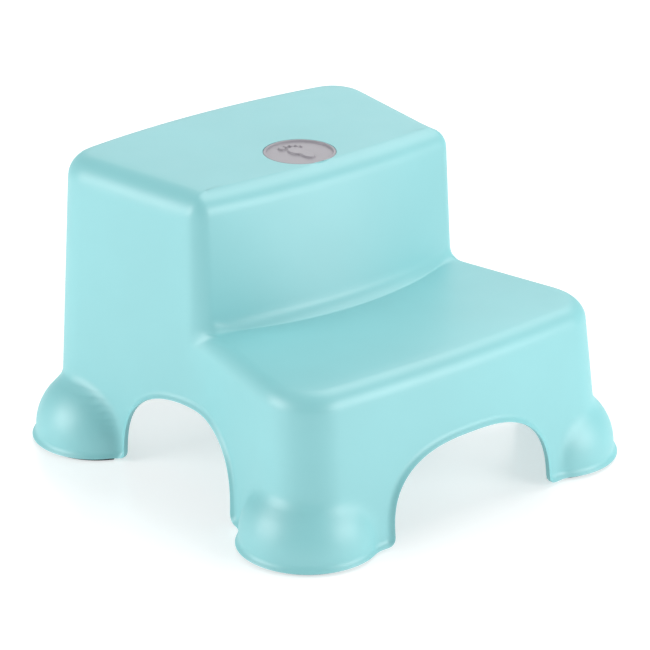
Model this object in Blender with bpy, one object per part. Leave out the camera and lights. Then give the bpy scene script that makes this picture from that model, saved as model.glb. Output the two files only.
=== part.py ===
"""Two-step moulded step stool.

One hollow injection-moulded shell makes both treads, the risers, the four
arched walls and the four bell feet. A curved rubber pad is pegged into each foot,
and a round badge plate is pressed into the upper tread.

Metres, +Z up. The stool faces -Y, X runs across it, and the origin is on the
floor under the middle of the stool.
"""
import math

import bmesh
import bpy

# ---- overall sizes ----
STOOL_HEIGHT = 0.220            # floor to upper tread
LOWER_TREAD_HEIGHT = 0.1215     # floor to lower tread
WALL = 0.003                    # moulded wall, everywhere
GAP = 0.0003                    # between a piece and the piece that it touches

# ---- plan of the walls; depths are along Y at the height of their own tread ----
WAIST_HALF_WIDTH = 0.1188       # half width at the riser, at the upper tread
SIDE_DRAFT = 0.034              # outward lean of the side walls, per metre of drop
FRONT_FLARE = 0.213             # the walls spread forwards of the riser
BACK_FLARE = 0.154              # and backwards of it
FLARE_SOFTNESS = 0.020          # length over which a flare starts
RISER_Y = -0.0022               # upper tread's front edge, at its ends
RISER_DRAFT = 0.030
FRONT_Y = -0.1400               # lower tread's front edge, at its ends
FRONT_DRAFT = 0.113
BACK_Y = 0.1424
BACK_DRAFT = 0.045
FRONT_BOW = 0.009               # forward bulge of the lower front
BACK_BOW = 0.0145               # backward bulge of the back wall
RISER_BOW_TOP = 0.0046          # forward bulge of the riser at the upper tread
RISER_BOW_BASE = 0.025          # and at the lower tread
KICK_DEPTH = 0.007              # extra bulge where the riser meets the lower tread
KICK_HEIGHT = 0.009
FRONT_CORNER = 0.041            # plan radius of each vertical corner
BACK_CORNER = 0.032
RISER_CORNER = 0.0115
UPPER_EDGE = 0.013              # rounding along the upper tread's edge
LOWER_EDGE = 0.0118             # rounding along the lower tread's edge

# ---- arches: width at the floor and height ----
FRONT_ARCH_HALF_WIDTH = 0.0735
FRONT_ARCH_HEIGHT = 0.065
SIDE_ARCH_HALF_WIDTH = 0.063
SIDE_ARCH_HEIGHT = 0.065
SIDE_ARCH_Y = 0.002
ARCH_POWER = 2.6                # 2 would be an ellipse
ARCH_FOOT_RADIUS = 0.006        # rounding where an arch meets the bottom edge

# ---- bell feet ----
FRONT_FOOT_X = WAIST_HALF_WIDTH - 0.0044   # the bells keep their place under the side walls
BACK_FOOT_X = WAIST_HALF_WIDTH + 0.0019
FOOT_Y = 0.1178
BELL_RADIUS = 0.0485
BELL_HEIGHT = 0.054
BELL_LIP = 0.0035               # the rolled lip stands out this much
BELL_LIP_TOP = 0.009

# ---- foot pads: each follows its bell's rim, from one wall of the leg to the other ----
PAD_THICKNESS = 0.0020
PAD_INSET = 0.0005              # the pad's edge behind the bell's outside
PAD_WIDTH = 0.015
PAD_CLEARANCE = 0.001           # between a pad's end and an arch
PEG_RADIUS = 0.003
PEG_HEIGHT = 0.012
PEG_INSET = 0.0080              # peg axis behind the bell's outside
PEG_SHARES = (0.15, 0.50, 0.85)  # places along the pad
BOSS_WALL = 0.002
BOSS_TOP = 0.024

# ---- badge ----
BADGE_RADIUS = 0.0264
BADGE_THICKNESS = 0.0022
BADGE_Y = 0.0300
BADGE_RIM = 0.0016
BADGE_RIM_RISE = 0.0004
BADGE_STUD_RADIUS = 0.002
BADGE_STUD_LENGTH = 0.005
BADGE_STUD_SPACING = 0.028
BADGE_SEAT_WALL = 0.0025        # moulded boss around and under the badge

# ---- ribs under the treads ----
TREAD_RIB = 0.002
TREAD_RIB_DEPTH = 0.008
UPPER_RIBS_X = (-0.070, 0.0, 0.070)
UPPER_RIBS_Y = (0.060, 0.105)
LOWER_RIBS_X = (-0.070, 0.0, 0.070)
LOWER_RIBS_Y = (-0.075,)

# ---- smoothness of the faceted surface ----
SIDE_STEPS = 4
CORNER_STEPS = 5
PAD_STEPS = 16
PEG_SEGMENTS = 12
SPAN_STEPS = 8
EDGE_STEPS = 4
BELL_SEGMENTS = 32
BELL_STEPS = 5
ROUND_SEGMENTS = 40
ARCH_STEPS = 20

BOTTOM_Z = PAD_THICKNESS + GAP
CUT_MARGIN = 0.010
MERGE_DISTANCE = 0.000001


# ---------------------------------------------------------------- materials

def plastic(name, colour, roughness):
    material = bpy.data.materials.new(name)
    material.use_nodes = True
    shader = material.node_tree.nodes["Principled BSDF"]
    shader.inputs["Base Color"].default_value = (*colour, 1.0)
    shader.inputs["Roughness"].default_value = roughness
    shader.inputs["Metallic"].default_value = 0.0
    material.diffuse_color = (*colour, 1.0)
    return material


# ---------------------------------------------------------------- mesh helpers

def new_object(name, bm, material=None, smooth=True):
    bmesh.ops.recalc_face_normals(bm, faces=bm.faces)
    mesh = bpy.data.meshes.new(name)
    bm.to_mesh(mesh)
    bm.free()
    if smooth:
        mesh.shade_smooth()
        mesh.set_sharp_from_angle(angle=math.radians(32))
    if material:
        mesh.materials.append(material)
    obj = bpy.data.objects.new(name, mesh)
    bpy.context.scene.collection.objects.link(obj)
    return obj


def tool(name, bm):
    """A cutter or a construction solid, which isn't a piece of the stool."""
    obj = new_object(name, bm, smooth=False)
    obj.hide_render = True
    obj.display_type = "WIRE"
    return obj


def loft(rings):
    """A closed solid through rings that have the same number of points."""
    bm = bmesh.new()
    loops = [[bm.verts.new(point) for point in ring] for ring in rings]
    for lower, upper in zip(loops, loops[1:]):
        for i in range(len(lower)):
            j = (i + 1) % len(lower)
            bm.faces.new((lower[i], lower[j], upper[j], upper[i]))
    bm.faces.new(list(reversed(loops[0])))
    bm.faces.new(loops[-1])
    return bm


def turned(profile, segments, centre=(0.0, 0.0)):
    """A solid turned around +Z; the profile's radius and height run upwards."""
    rings = []
    for radius, z in profile:
        ring = []
        for i in range(segments):
            angle = 2 * math.pi * i / segments
            ring.append((centre[0] + radius * math.cos(angle), centre[1] + radius * math.sin(angle), z))
        rings.append(ring)
    return loft(rings)


def box(low, high):
    bm = bmesh.new()
    bmesh.ops.create_cube(bm, size=1.0)
    for vert in bm.verts:
        for axis in range(3):
            middle = (low[axis] + high[axis]) / 2
            vert.co[axis] = middle + vert.co[axis] * (high[axis] - low[axis])
    return bm


def prism(outline, axis, start, end):
    """Extrude an outline of (across, height) points along "X" or "Y"."""
    def place(along, across, height):
        if axis == "X":
            return (along, across, height)
        return (across, along, height)
    return loft([[place(along, *point) for point in outline] for along in (start, end)])


def boolean(target, others, operation):
    for other in others:
        step = target.modifiers.new(f"{operation.lower()}_{other.name}", "BOOLEAN")
        step.operation = operation
        step.solver = "EXACT"
        step.object = other


def apply_modifiers(obj):
    """Put the evaluated mesh back into the object, so that later steps read it."""
    graph = bpy.context.evaluated_depsgraph_get()
    mesh = bpy.data.meshes.new_from_object(obj.evaluated_get(graph))
    obj.modifiers.clear()
    obj.data = mesh


def united(name, parts):
    """One construction solid out of several that cross."""
    whole = parts[0]
    whole.name = name
    boolean(whole, parts[1:], "UNION")
    apply_modifiers(whole)
    discard(parts[1:])
    return whole


def discard(objects):
    for obj in objects:
        bpy.data.objects.remove(obj, do_unlink=True)


# ---------------------------------------------------------------- plan of the walls

def soft_ramp(distance):
    """0 behind the start, then a straight ramp that starts softly."""
    if distance <= 0.0:
        return 0.0
    if distance < FLARE_SOFTNESS:
        return distance * distance / (2 * FLARE_SOFTNESS)
    return distance - FLARE_SOFTNESS / 2


def waist_half_width(z):
    return WAIST_HALF_WIDTH + SIDE_DRAFT * (STOOL_HEIGHT - z)


def riser_y(z):
    return RISER_Y - RISER_DRAFT * (STOOL_HEIGHT - z)


def front_y(z):
    return FRONT_Y - FRONT_DRAFT * (LOWER_TREAD_HEIGHT - z)


def back_y(z):
    return BACK_Y + BACK_DRAFT * (STOOL_HEIGHT - z)


def flare(y):
    """How far a side wall stands out of its waist at this depth."""
    waist_y = riser_y(LOWER_TREAD_HEIGHT)
    return FRONT_FLARE * soft_ramp(waist_y - y) + BACK_FLARE * soft_ramp(y - waist_y)


def riser_bow(z):
    above = max(z - LOWER_TREAD_HEIGHT, 0.0)
    share = 1.0 - above / (STOOL_HEIGHT - LOWER_TREAD_HEIGHT)
    bow = RISER_BOW_TOP + (RISER_BOW_BASE - RISER_BOW_TOP) * share
    if above < KICK_HEIGHT:
        bow += KICK_DEPTH * (1.0 - above / KICK_HEIGHT) ** 2
    return bow


def spaced(start, end, steps):
    return [start + (end - start) * i / steps for i in range(steps + 1)]


def corner(centre, radius, start, end, steps):
    points = []
    for angle in spaced(math.radians(start), math.radians(end), steps):
        points.append((centre[0] + radius * math.cos(angle), centre[1] + radius * math.sin(angle)))
    return points


def half_outline(half, junction, edge, radius, corner_steps):
    """Right half of one end of the plan, from the middle of the end to the junction.

    Depth is measured outwards from the junction: `edge` is the end's depth.
    """
    depth = abs(edge - junction)
    sign = 1.0 if edge > junction else -1.0
    points = [(x, depth) for x in spaced(0.0, half - radius, SPAN_STEPS // 2)]
    arc = corner((half - radius, depth - radius), radius, 90, 0, corner_steps)
    points += arc[1:]
    if depth - radius > 1e-6:
        points += [(half, d) for d in spaced(depth - radius, 0.0, SIDE_STEPS)[1:]]
    return [(x, junction + sign * d) for x, d in points]


def bowed(points, half, middle, edge, bow):
    """Bulge an end outwards, fully at its edge and not at all at the middle."""
    sign = 1.0 if edge > middle else -1.0
    result = []
    for x, y in points:
        share = max(0.0, min(1.0, (y - middle) / (edge - middle)))
        result.append((x, y + sign * bow * max(0.0, 1.0 - (x / half) ** 2) * share ** 2))
    return result


def spread(points, half):
    return [(x * (half + flare(y)) / half, y) for x, y in points]


def junction_y(z):
    """Where a side wall's front half meets its back half."""
    return riser_y(z) + RISER_CORNER + UPPER_EDGE


def plan_half(z, inset, front_edge, front_radius, front_bow):
    """Right half of a plan ring: middle of the front, side, middle of the back."""
    half = waist_half_width(z) - inset
    junction = junction_y(z)
    back_edge = back_y(z) - inset
    middle = (front_y(z) + back_y(z)) / 2
    front = half_outline(half, junction, front_edge + inset, max(front_radius - inset, WALL), CORNER_STEPS)
    front = bowed(front, half, middle, front_edge + inset, front_bow)
    back = half_outline(half, junction, back_edge, max(BACK_CORNER - inset, WALL), CORNER_STEPS)
    back = bowed(back, half, middle, back_edge, BACK_BOW)
    return spread(front + list(reversed(back))[1:], half)


def plan_ring(half_points, z):
    """A full ring, counter-clockwise from above."""
    left = [(-x, y) for x, y in reversed(half_points[1:-1])]
    return [(x, y, z) for x, y in half_points + left]


def lower_ring(z, inset):
    return plan_ring(plan_half(z, inset, front_y(z), FRONT_CORNER, FRONT_BOW), z)


def upper_ring(z, inset):
    return plan_ring(plan_half(z, inset, riser_y(z), RISER_CORNER, riser_bow(z)), z)


def edge_steps(radius, steps):
    """(drop, inset) pairs around a quarter round, from the wall to the tread."""
    pairs = []
    for angle in spaced(0.0, math.pi / 2, steps)[1:]:
        pairs.append((radius * (1 - math.sin(angle)), radius * (1 - math.cos(angle))))
    return pairs


def stepped_block(name, inset, bottom):
    """The solid stepped block, `inset` inside the outer face of the walls."""
    lower_top = LOWER_TREAD_HEIGHT - inset
    upper_top = STOOL_HEIGHT - inset
    shoulder = LOWER_TREAD_HEIGHT - LOWER_EDGE
    rings = [lower_ring(bottom, inset), lower_ring(shoulder, inset)]
    for drop, edge_inset in edge_steps(LOWER_EDGE - inset, EDGE_STEPS):
        rings.append(lower_ring(lower_top - drop, inset + edge_inset))
    lower = tool(name, loft(rings))

    levels = [shoulder] + [lower_top + height for height in spaced(0.0, KICK_HEIGHT, 2)]
    levels.append(STOOL_HEIGHT - UPPER_EDGE)
    rings = [upper_ring(z, inset) for z in levels]
    for drop, edge_inset in edge_steps(UPPER_EDGE - inset, EDGE_STEPS):
        rings.append(upper_ring(upper_top - drop, inset + edge_inset))
    upper = tool(f"{name}_upper", loft(rings))
    return united(name, [lower, upper])


# ---------------------------------------------------------------- arches and bells

def arch_outline(half_width, height):
    """Half-rounded opening that spreads where it meets the bottom edge."""
    foot = ARCH_FOOT_RADIUS
    right = [(half_width + foot, -CUT_MARGIN), (half_width + foot, BOTTOM_Z)]
    for angle in spaced(-math.pi / 2, -math.pi, 3)[1:]:
        right.append((half_width + foot + foot * math.cos(angle), BOTTOM_Z + foot + foot * math.sin(angle)))
    for angle in spaced(0.0, math.pi / 2, ARCH_STEPS // 2)[1:]:
        across = half_width * math.cos(angle) ** (2 / ARCH_POWER)
        rise = (height - BOTTOM_Z - foot) * math.sin(angle) ** (2 / ARCH_POWER)
        right.append((across, BOTTOM_Z + foot + rise))
    left = [(-across, rise) for across, rise in reversed(right[:-1])]
    return right + left


def bell_profile(inset, bottom):
    """Radius and height up one bell foot, `inset` inside its outer face."""
    profile = []
    if inset == 0.0:
        lip = BELL_RADIUS + BELL_LIP
        profile += [(lip - BELL_LIP / 3, bottom), (lip, bottom + BELL_LIP / 2)]
        profile += [(lip, BELL_LIP_TOP - BELL_LIP)]
    else:
        profile += [(BELL_RADIUS - inset, bottom)]
    radius = BELL_RADIUS - inset
    top = BELL_HEIGHT - inset
    for angle in spaced(0.0, math.pi / 2, BELL_STEPS)[:-1]:
        profile.append((radius * math.cos(angle), BELL_LIP_TOP + (top - BELL_LIP_TOP) * math.sin(angle)))
    profile.append((radius * 0.10, top))
    return profile


FEET = {
    "front_left": (-FRONT_FOOT_X, -FOOT_Y),
    "front_right": (FRONT_FOOT_X, -FOOT_Y),
    "back_left": (-BACK_FOOT_X, FOOT_Y),
    "back_right": (BACK_FOOT_X, FOOT_Y),
}


# ---------------------------------------------------------------- stool body

def reach_angle(distance, radius):
    """Half the arc of a circle that lies past a wall; none of it where the wall is out of reach."""
    return math.acos(min(1.0, distance / radius))


def clear_angle(distance, radius):
    """Half the arc of a circle that stays on this side of an arch's jamb."""
    return math.asin(min(1.0, (distance - ARCH_FOOT_RADIUS - PAD_CLEARANCE) / radius))


def pad_angles(place, radius):
    """Where a circle about a foot meets the inner faces of its leg's walls or an arch's jamb, in order."""
    x, y = place
    half = waist_half_width(BOTTOM_Z)
    side = half + flare(y) - WALL
    to_jamb = abs(y - SIDE_ARCH_Y) - SIDE_ARCH_HALF_WIDTH
    to_side = min(reach_angle(side - abs(x), radius), clear_angle(to_jamb, radius))
    end_y, bow = (front_y(BOTTOM_Z), FRONT_BOW) if y < 0 else (back_y(BOTTOM_Z), BACK_BOW)
    end = abs(end_y) + bow * (1.0 - (x / half) ** 2 if abs(x) < half else 0.0) - WALL
    to_end = min(reach_angle(end - abs(y), radius), clear_angle(abs(x) - FRONT_ARCH_HALF_WIDTH, radius))
    if (x > 0) == (y > 0):
        outer = 0.0 if x > 0 else math.pi
        return outer - to_side, outer + math.pi / 2 + to_end
    outer = math.pi if x < 0 else 0.0
    return outer - math.pi / 2 - to_end, outer + to_side


def peg_places(place):
    radius = BELL_RADIUS - PEG_INSET
    start, end = pad_angles(place, radius)
    places = []
    for share in PEG_SHARES:
        angle = start + (end - start) * share
        places.append((place[0] + radius * math.cos(angle), place[1] + radius * math.sin(angle)))
    return places


def pad_bosses():
    """Short tubes inside the bells, one over each peg of the pads."""
    parts = []
    radius = PEG_RADIUS + GAP + BOSS_WALL
    for name, place in FEET.items():
        for i, peg in enumerate(peg_places(place)):
            profile = [(radius, BOTTOM_Z + GAP), (radius, BOSS_TOP)]
            parts.append(tool(f"boss_{name}_{i}", turned(profile, PEG_SEGMENTS, peg)))
    return parts


def rib_grid(name, lines_x, lines_y, top, y_range):
    """Crossed ribs that hang under a tread, long enough to reach every wall."""
    half = TREAD_RIB / 2
    low = top - WALL - TREAD_RIB_DEPTH
    high = top - WALL / 2
    reach = WAIST_HALF_WIDTH * 2
    parts = []
    for i, x in enumerate(lines_x):
        parts.append(tool(f"{name}_y_{i}", box((x - half, y_range[0], low), (x + half, y_range[1], high))))
    for i, y in enumerate(lines_y):
        parts.append(tool(f"{name}_x_{i}", box((-reach, y - half, low), (reach, y + half, high))))
    return united(name, parts)


def tread_ribs():
    riser = riser_y(LOWER_TREAD_HEIGHT)
    back = BACK_Y + BACK_BOW + CUT_MARGIN
    front = FRONT_Y - FRONT_BOW - CUT_MARGIN
    upper = rib_grid("upper_ribs", UPPER_RIBS_X, UPPER_RIBS_Y, STOOL_HEIGHT, (RISER_Y - CUT_MARGIN, back))
    lower = rib_grid("lower_ribs", LOWER_RIBS_X, LOWER_RIBS_Y, LOWER_TREAD_HEIGHT, (front, riser))
    return [upper, lower]


def badge_seat_depth():
    return BADGE_THICKNESS + GAP + BADGE_RIM_RISE


def stool_body(material):
    outer = stepped_block("outer_form", 0.0, BOTTOM_Z)
    inner = stepped_block("inner_form", WALL, -CUT_MARGIN)
    outer_bells = []
    inner_bells = []
    for name, place in FEET.items():
        outer_bells.append(tool(f"bell_{name}", turned(bell_profile(0.0, BOTTOM_Z), BELL_SEGMENTS, place)))
        profile = bell_profile(WALL, -CUT_MARGIN)
        inner_bells.append(tool(f"bell_core_{name}", turned(profile, BELL_SEGMENTS, place)))

    seat_radius = BADGE_RADIUS + GAP
    seat_z = STOOL_HEIGHT - badge_seat_depth()
    boss_profile = [(seat_radius + BADGE_SEAT_WALL, seat_z - BADGE_SEAT_WALL)]
    boss_profile.append((seat_radius + BADGE_SEAT_WALL, STOOL_HEIGHT))
    boss = tool("badge_boss", turned(boss_profile, ROUND_SEGMENTS, (0.0, BADGE_Y)))
    seat_profile = [(seat_radius, seat_z), (seat_radius, STOOL_HEIGHT + CUT_MARGIN)]
    seat = tool("badge_seat", turned(seat_profile, ROUND_SEGMENTS, (0.0, BADGE_Y)))
    stud_holes = []
    for i, side in enumerate((-1, 1)):
        hole = [(BADGE_STUD_RADIUS + GAP, seat_z - CUT_MARGIN), (BADGE_STUD_RADIUS + GAP, seat_z + GAP)]
        place = (side * BADGE_STUD_SPACING / 2, BADGE_Y)
        stud_holes.append(tool(f"stud_hole_{i}", turned(hole, PEG_SEGMENTS, place)))
    peg_holes = []
    for name, place in FEET.items():
        for i, peg in enumerate(peg_places(place)):
            hole = [(PEG_RADIUS + GAP, -CUT_MARGIN), (PEG_RADIUS + GAP, PAD_THICKNESS + PEG_HEIGHT + GAP)]
            peg_holes.append(tool(f"peg_hole_{name}_{i}", turned(hole, PEG_SEGMENTS, peg)))

    arches = []
    reach = STOOL_HEIGHT
    front_arch = arch_outline(FRONT_ARCH_HALF_WIDTH, FRONT_ARCH_HEIGHT)
    arches.append(tool("front_and_back_arch", prism(front_arch, "Y", -reach, reach)))
    side_arch = arch_outline(SIDE_ARCH_HALF_WIDTH, SIDE_ARCH_HEIGHT)
    side_arch = [(across + SIDE_ARCH_Y, height) for across, height in side_arch]
    arches.append(tool("side_arch", prism(side_arch, "X", -reach, reach)))

    ribs = pad_bosses() + tread_ribs() + [boss]
    boolean(inner, inner_bells, "UNION")
    boolean(inner, ribs, "DIFFERENCE")
    apply_modifiers(inner)
    boolean(outer, outer_bells, "UNION")
    boolean(outer, [inner] + arches + [seat] + stud_holes + peg_holes, "DIFFERENCE")
    apply_modifiers(outer)

    bm = bmesh.new()
    bm.from_mesh(outer.data)
    bmesh.ops.remove_doubles(bm, verts=bm.verts, dist=MERGE_DISTANCE)
    body = new_object("stool_body", bm, material)
    discard([outer, inner, seat] + outer_bells + inner_bells + ribs + arches + stud_holes + peg_holes)
    return body


# ---------------------------------------------------------------- pads and badge

def foot_pad(name, place, material):
    """A curved strip along the bell's rim, with its pegs standing on it."""
    edge = BELL_RADIUS - PAD_INSET
    inside = edge - PAD_WIDTH
    outer_angles = spaced(*pad_angles(place, edge), PAD_STEPS)
    inner_angles = spaced(*pad_angles(place, inside), PAD_STEPS)
    outline = [(edge * math.cos(angle), edge * math.sin(angle)) for angle in outer_angles]
    outline += [(inside * math.cos(angle), inside * math.sin(angle)) for angle in reversed(inner_angles)]
    pad = new_object(name, loft([[(x, y, z) for x, y in outline] for z in (0.0, PAD_THICKNESS)]), material)
    pegs = []
    for i, (x, y) in enumerate(peg_places(place)):
        profile = [(PEG_RADIUS, PAD_THICKNESS / 2), (PEG_RADIUS, PAD_THICKNESS + PEG_HEIGHT)]
        pegs.append(tool(f"peg_{i}", turned(profile, PEG_SEGMENTS, (x - place[0], y - place[1]))))
    boolean(pad, pegs, "UNION")
    apply_modifiers(pad)
    discard(pegs)
    pad.location = (place[0], place[1], 0.0)
    return pad


def badge_plate(material):
    """A plate with a raised rim and two studs; its rim is flush with the tread."""
    bottom = STOOL_HEIGHT - BADGE_RIM_RISE - BADGE_THICKNESS
    face = bottom + BADGE_THICKNESS
    rim = face + BADGE_RIM_RISE
    inner = BADGE_RADIUS - BADGE_RIM
    profile = [(BADGE_RADIUS, bottom), (BADGE_RADIUS, rim - BADGE_RIM_RISE / 2)]
    profile += [(BADGE_RADIUS - BADGE_RIM_RISE / 2, rim), (inner, rim), (inner - BADGE_RIM_RISE, face)]
    place = (0.0, BADGE_Y)
    plate = new_object("badge_plate", turned(profile, ROUND_SEGMENTS, place), material)
    studs = []
    for i, side in enumerate((-1, 1)):
        stud = [(BADGE_STUD_RADIUS, bottom - BADGE_STUD_LENGTH + GAP)]
        stud.append((BADGE_STUD_RADIUS, bottom + BADGE_THICKNESS / 2))
        studs.append(tool(f"stud_{i}", turned(stud, PEG_SEGMENTS, (side * BADGE_STUD_SPACING / 2, BADGE_Y))))
    boolean(plate, studs, "UNION")
    apply_modifiers(plate)
    discard(studs)
    return plate


def main():
    for obj in list(bpy.data.objects):
        bpy.data.objects.remove(obj, do_unlink=True)
    mint = plastic("mint_polypropylene", (0.42, 0.78, 0.80), 0.42)
    rubber = plastic("dark_grey_rubber", (0.06, 0.06, 0.07), 0.75)
    grey = plastic("grey_badge_plastic", (0.50, 0.49, 0.51), 0.40)
    stool_body(mint)
    for name, place in FEET.items():
        foot_pad(f"foot_pad_{name}", place, rubber)
    badge_plate(grey)


main()
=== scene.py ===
"""Two-step moulded step stool: detailed body, foot pads, badge and studio stage."""
import math

import bmesh
import bpy
import numpy as np
from bpy.props import FloatProperty, FloatVectorProperty, PointerProperty
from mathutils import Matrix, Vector


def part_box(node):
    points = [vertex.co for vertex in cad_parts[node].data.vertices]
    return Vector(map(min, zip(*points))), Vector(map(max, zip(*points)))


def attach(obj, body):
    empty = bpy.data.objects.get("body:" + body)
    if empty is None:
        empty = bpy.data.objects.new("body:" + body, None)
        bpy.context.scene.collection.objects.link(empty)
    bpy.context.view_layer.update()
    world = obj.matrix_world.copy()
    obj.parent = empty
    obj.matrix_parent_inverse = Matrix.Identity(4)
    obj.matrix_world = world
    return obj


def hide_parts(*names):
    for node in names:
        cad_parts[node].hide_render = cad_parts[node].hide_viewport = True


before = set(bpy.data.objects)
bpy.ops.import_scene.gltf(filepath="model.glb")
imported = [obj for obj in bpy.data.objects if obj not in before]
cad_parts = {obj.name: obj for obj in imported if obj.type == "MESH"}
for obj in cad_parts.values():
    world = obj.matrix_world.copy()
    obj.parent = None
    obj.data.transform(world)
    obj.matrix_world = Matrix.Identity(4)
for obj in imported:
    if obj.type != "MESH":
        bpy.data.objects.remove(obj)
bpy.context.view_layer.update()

bl_info = {
    "name": "Two-Step Stool",
    "version": (1, 0, 0),
    "blender": (4, 5, 0),
    "location": "View3D > Sidebar > Step Stool",
    "description": "Builds a moulded two-step stool with foot pads, badge and studio stage",
    "category": "Object",
}

BODY = "root"
CAD_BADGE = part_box("badge_plate")

# ---- moulding details that a user hardly changes ----
SIDE_DRAFT = 0.034              # outward lean of the side walls, per metre of drop
FRONT_FLARE = 0.213             # the walls spread forwards of the riser
BACK_FLARE = 0.154              # and backwards of it
FLARE_SOFTNESS = 0.020          # length over which a flare starts
RISER_Y = -0.0022               # upper tread's front edge, at its ends
RISER_DRAFT = 0.030
FRONT_Y = -0.1400               # lower tread's front edge, at its ends
FRONT_DRAFT = 0.113
BACK_Y = 0.1424
BACK_DRAFT = 0.045
FRONT_BOW = 0.009               # forward bulge of the lower front
BACK_BOW = 0.0145               # backward bulge of the back wall
RISER_BOW_TOP = 0.0046          # forward bulge of the riser at the upper tread
RISER_BOW_BASE = 0.025          # and at the lower tread
KICK_DEPTH = 0.007              # extra bulge where the riser meets the lower tread
KICK_HEIGHT = 0.009
FRONT_CORNER = 0.041            # plan radius of each vertical corner
BACK_CORNER = 0.032
RISER_CORNER = 0.0115
EDGE_GROWTH_START = -0.030      # y where the upper edge's rounding starts to grow
EDGE_GROWTH_LENGTH = 0.060
CREASE_RADIUS = 0.0012          # where the riser meets the lower tread
RISER_END_RADIUS = 0.013        # and where it meets the side walls
RISER_END_START = 0.72          # share of the half width where the crease starts to soften
ARCH_POWER = 2.6                # 2 would be an ellipse
ARCH_FOOT_RADIUS = 0.006        # rounding where an arch meets the bottom edge
SIDE_ARCH_Y = 0.002
FOOT_Y = 0.1178
FRONT_FOOT_X = 0.1144
BACK_FOOT_X = 0.1207
BELL_BASE = 0.009               # a bell stands upright up to this height
BELL_FILLET = 0.0058
INNER_ROLL = 0.6                # share of the lip's roll that the inner face follows
RIM_BULGE = 0.0004              # rounding of the lower rim
PAD_TOP = 0.0020
GAP = 0.0003
BOTTOM_Z = PAD_TOP + GAP

# ---- badge seat, ribs and bosses underneath ----
SEAT_DEPTH = 0.0029
SEAT_WALL = 0.0025
SEAT_BOSS_DEPTH = 0.0024
UPPER_RIBS_Y = (0.060, 0.105)
UPPER_RIBS_MIDDLE = 0.070
LOWER_RIBS_Y = (-0.075,)
LOWER_RIBS_MIDDLE = -0.085
RIBS_X = (-0.070, 0.0, 0.070)
LOWER_RIBS_END_Y = -0.022       # they stop short of the riser
RIB_END_DEPTH = 0.0015          # how far inside a wall's outer face a rib ends
# a rib's section: depth below the tread and half width
RIB_SECTION = ((0.0014, 0.0013), (0.004, 0.0012), (0.0075, 0.0011), (0.0105, 0.0010), (0.011, 0.0006))
PEG_BOSS_RADIUS = 0.0050
PEG_HOLE_RADIUS = 0.0033
PEG_BOSS_TOP = 0.020

# ---- skeleton that the walls' grid is cast from ----
CORE_X = 0.100
CORE_Y = 0.105
CORE_CORNER = 0.075
RISER_CORE_CORNER = 0.030
JUNCTION_Y = 0.012              # where a side wall's front half meets its back half
REACH = 0.14                    # farthest a wall can be from the core
CAST_HALVINGS = 26
SETTLE_ROUNDS = 6
LEAST_STEEPNESS = 0.05
FARTHEST_MOVE = 0.003

# ---- grid ----
LEG_COLUMNS = 88
JAMB_STEPS = 24
FOOT_STEPS = 4
RIM_OFFSETS = (0.0, 0.0004, 0.0009, 0.0016, 0.0025, 0.0036, 0.0050)
WALL_ROWS = 12
EDGE_ROWS = 8
TREAD_ROWS = 18
RISER_OFFSETS = (0.0006, 0.0013, 0.0022, 0.0034, 0.0050, 0.0070, 0.0095, 0.0128, 0.0168)
RISER_ROWS = 20
UPPER_ROWS = 11
BACK_SPREAD = 0.022             # how far the tread's rows part on the back columns
TREAD_CROWDING = 1.7            # above 1 the tread's rows crowd towards the riser
BLEND_START = 0.78              # share of the way to the junction where front turns into back
RELAX_ROUNDS = 40
RELAX_FROM = BLEND_START - 0.14
RELAX_TO = 1.16
RELAX_MIDDLE = 0.95
RELAX_REACH = 0.2
RELAX_OVERLAP = 4               # wall rows that the evening out reaches down into
SEAT_SMOOTHING = 61
RING_SMOOTHING = 11
MERGE_DISTANCE = 0.000003
ROUND_SEGMENTS = 20
PEG_SEGMENTS = 24


def length(name, text, value):
    return FloatProperty(name=name, description=text, default=value, min=0.0, precision=4, unit="LENGTH")


def colour(name, text, value):
    return FloatVectorProperty(name=name, description=text, default=value, min=0.0, max=1.0,
                               size=3, subtype="COLOR")


class StoolSizes(bpy.types.PropertyGroup):
    """Sizes of the stool, in metres."""
    height: length("Height", "Floor to upper tread", 0.220)
    lower_height: length("Lower tread height", "Floor to lower tread", 0.1215)
    waist: length("Waist half width", "Half width at the riser, at the upper tread", 0.1188)
    wall: length("Wall", "Thickness of the moulded wall", 0.003)
    upper_edge: length("Upper front edge", "Rounding along the upper tread's front edge", 0.012)
    upper_back_edge: length("Upper back edge", "Rounding along its sides and back", 0.0178)
    lower_edge: length("Lower edge", "Rounding along the lower tread's edge", 0.0135)
    front_arch: length("Front arch", "Half width of the front and back arches", 0.0735)
    side_arch: length("Side arch", "Half width of the side arches", 0.063)
    arch_height: length("Arch height", "Floor to the crown of an arch", 0.065)
    bell_radius: length("Bell radius", "Radius of a bell foot at the floor", 0.0485)
    bell_height: length("Bell height", "Height of a bell foot", 0.054)
    lip: length("Lip", "How far the lower edge rolls outwards", 0.0034)
    badge_radius: length("Badge radius", "Radius of the badge plate", (CAD_BADGE[1][0] - CAD_BADGE[0][0]) / 2)


class StoolFinishes(bpy.types.PropertyGroup):
    """Colours of the stool and of the stage."""
    mint: colour("Mint plastic", "Colour of the moulded body", (0.225, 0.555, 0.580))
    rubber: colour("Rubber", "Colour of the foot pads", (0.035, 0.036, 0.040))
    badge: colour("Badge plastic", "Colour of the badge plate", (0.30, 0.285, 0.315))
    floor: colour("Floor", "Colour of the studio floor", (0.55, 0.55, 0.55))


# ---------------------------------------------------------------- the body's outer form

def soft_ramp(distance):
    curved = distance ** 2 / (2 * FLARE_SOFTNESS)
    ramp = np.where(distance < FLARE_SOFTNESS, curved, distance - FLARE_SOFTNESS / 2)
    return np.where(distance <= 0.0, 0.0, ramp)


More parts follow.
